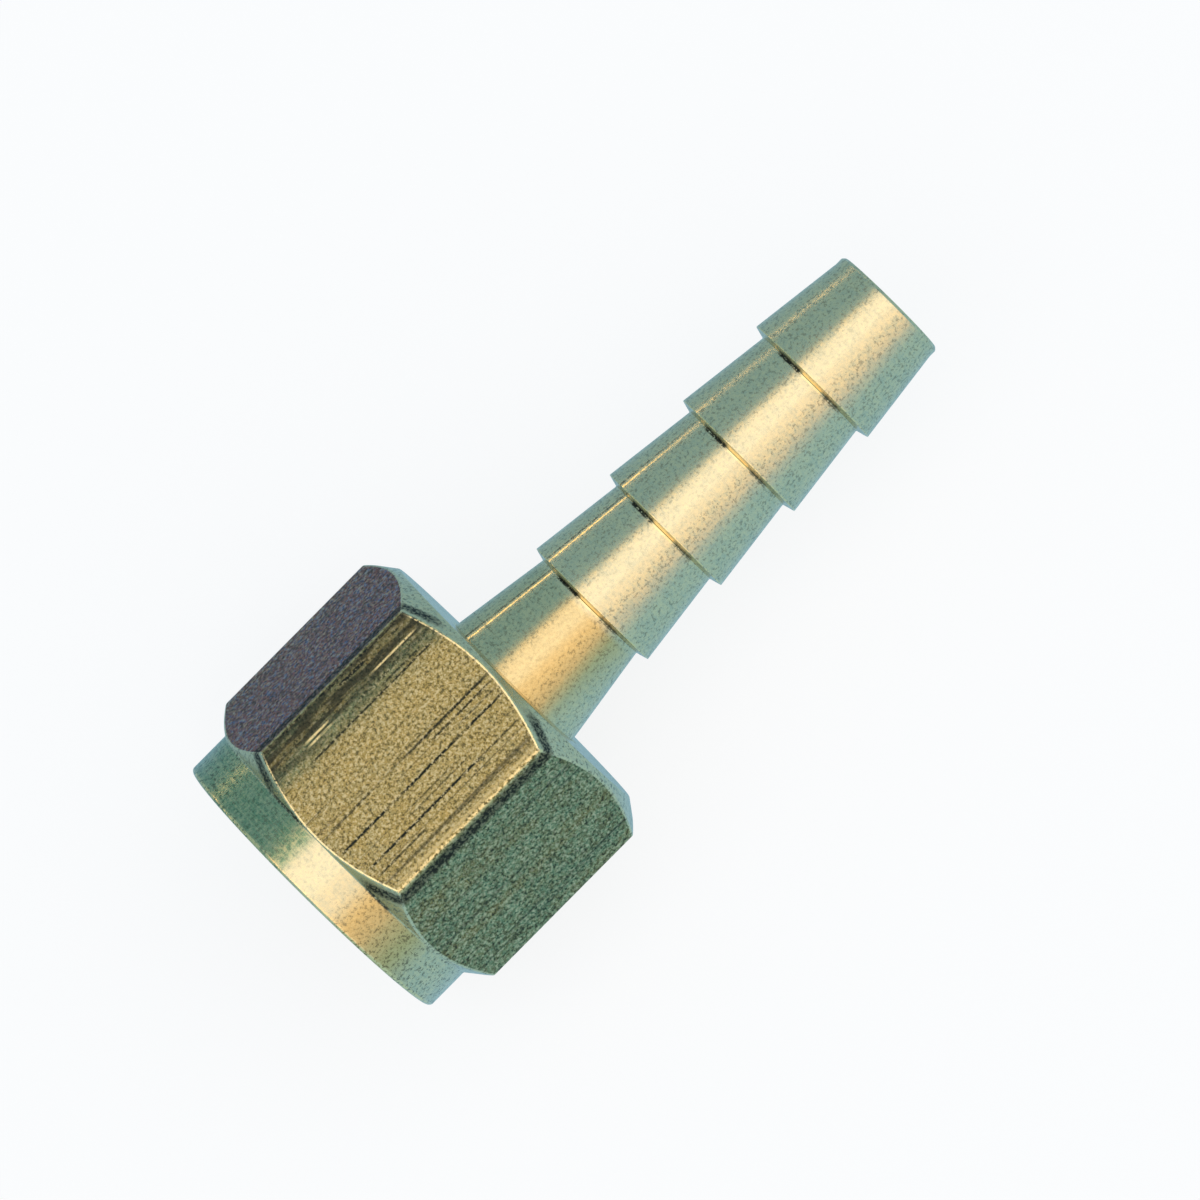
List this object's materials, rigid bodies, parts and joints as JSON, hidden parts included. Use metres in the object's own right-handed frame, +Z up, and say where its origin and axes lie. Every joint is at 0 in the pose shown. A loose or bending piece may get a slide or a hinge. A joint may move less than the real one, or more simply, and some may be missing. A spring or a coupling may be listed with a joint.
{
  "type": "barbed swivel hose fitting",
  "caption": "Brass hose tail with a row of barbs, held by a freely turning hexagon union nut with an internal thread.",
  "frame": {"origin": "on the fitting's axis, in the plane of the nut's open face", "axes": "+X along the axis from the nut's open face to the tail's tip, +Z up with the nut lying on one of its flats"},
  "size_m": [0.0415, 0.0196, 0.017],
  "materials": {
    "drawn_brass": "matt, with draw marks",
    "turned_brass": "satin, turned"
  },
  "bodies": {
    "nut": {"swivel_nut": "drawn_brass"},
    "tail": {"hose_tail": "turned_brass"}
  },
  "joints": [
    {"name": "tail_turn", "type": "hinge", "parent": "nut", "child": "tail", "pos_m": [0, 0, 0], "axis": [1, 0, 0], "continuous": true}
  ]
}
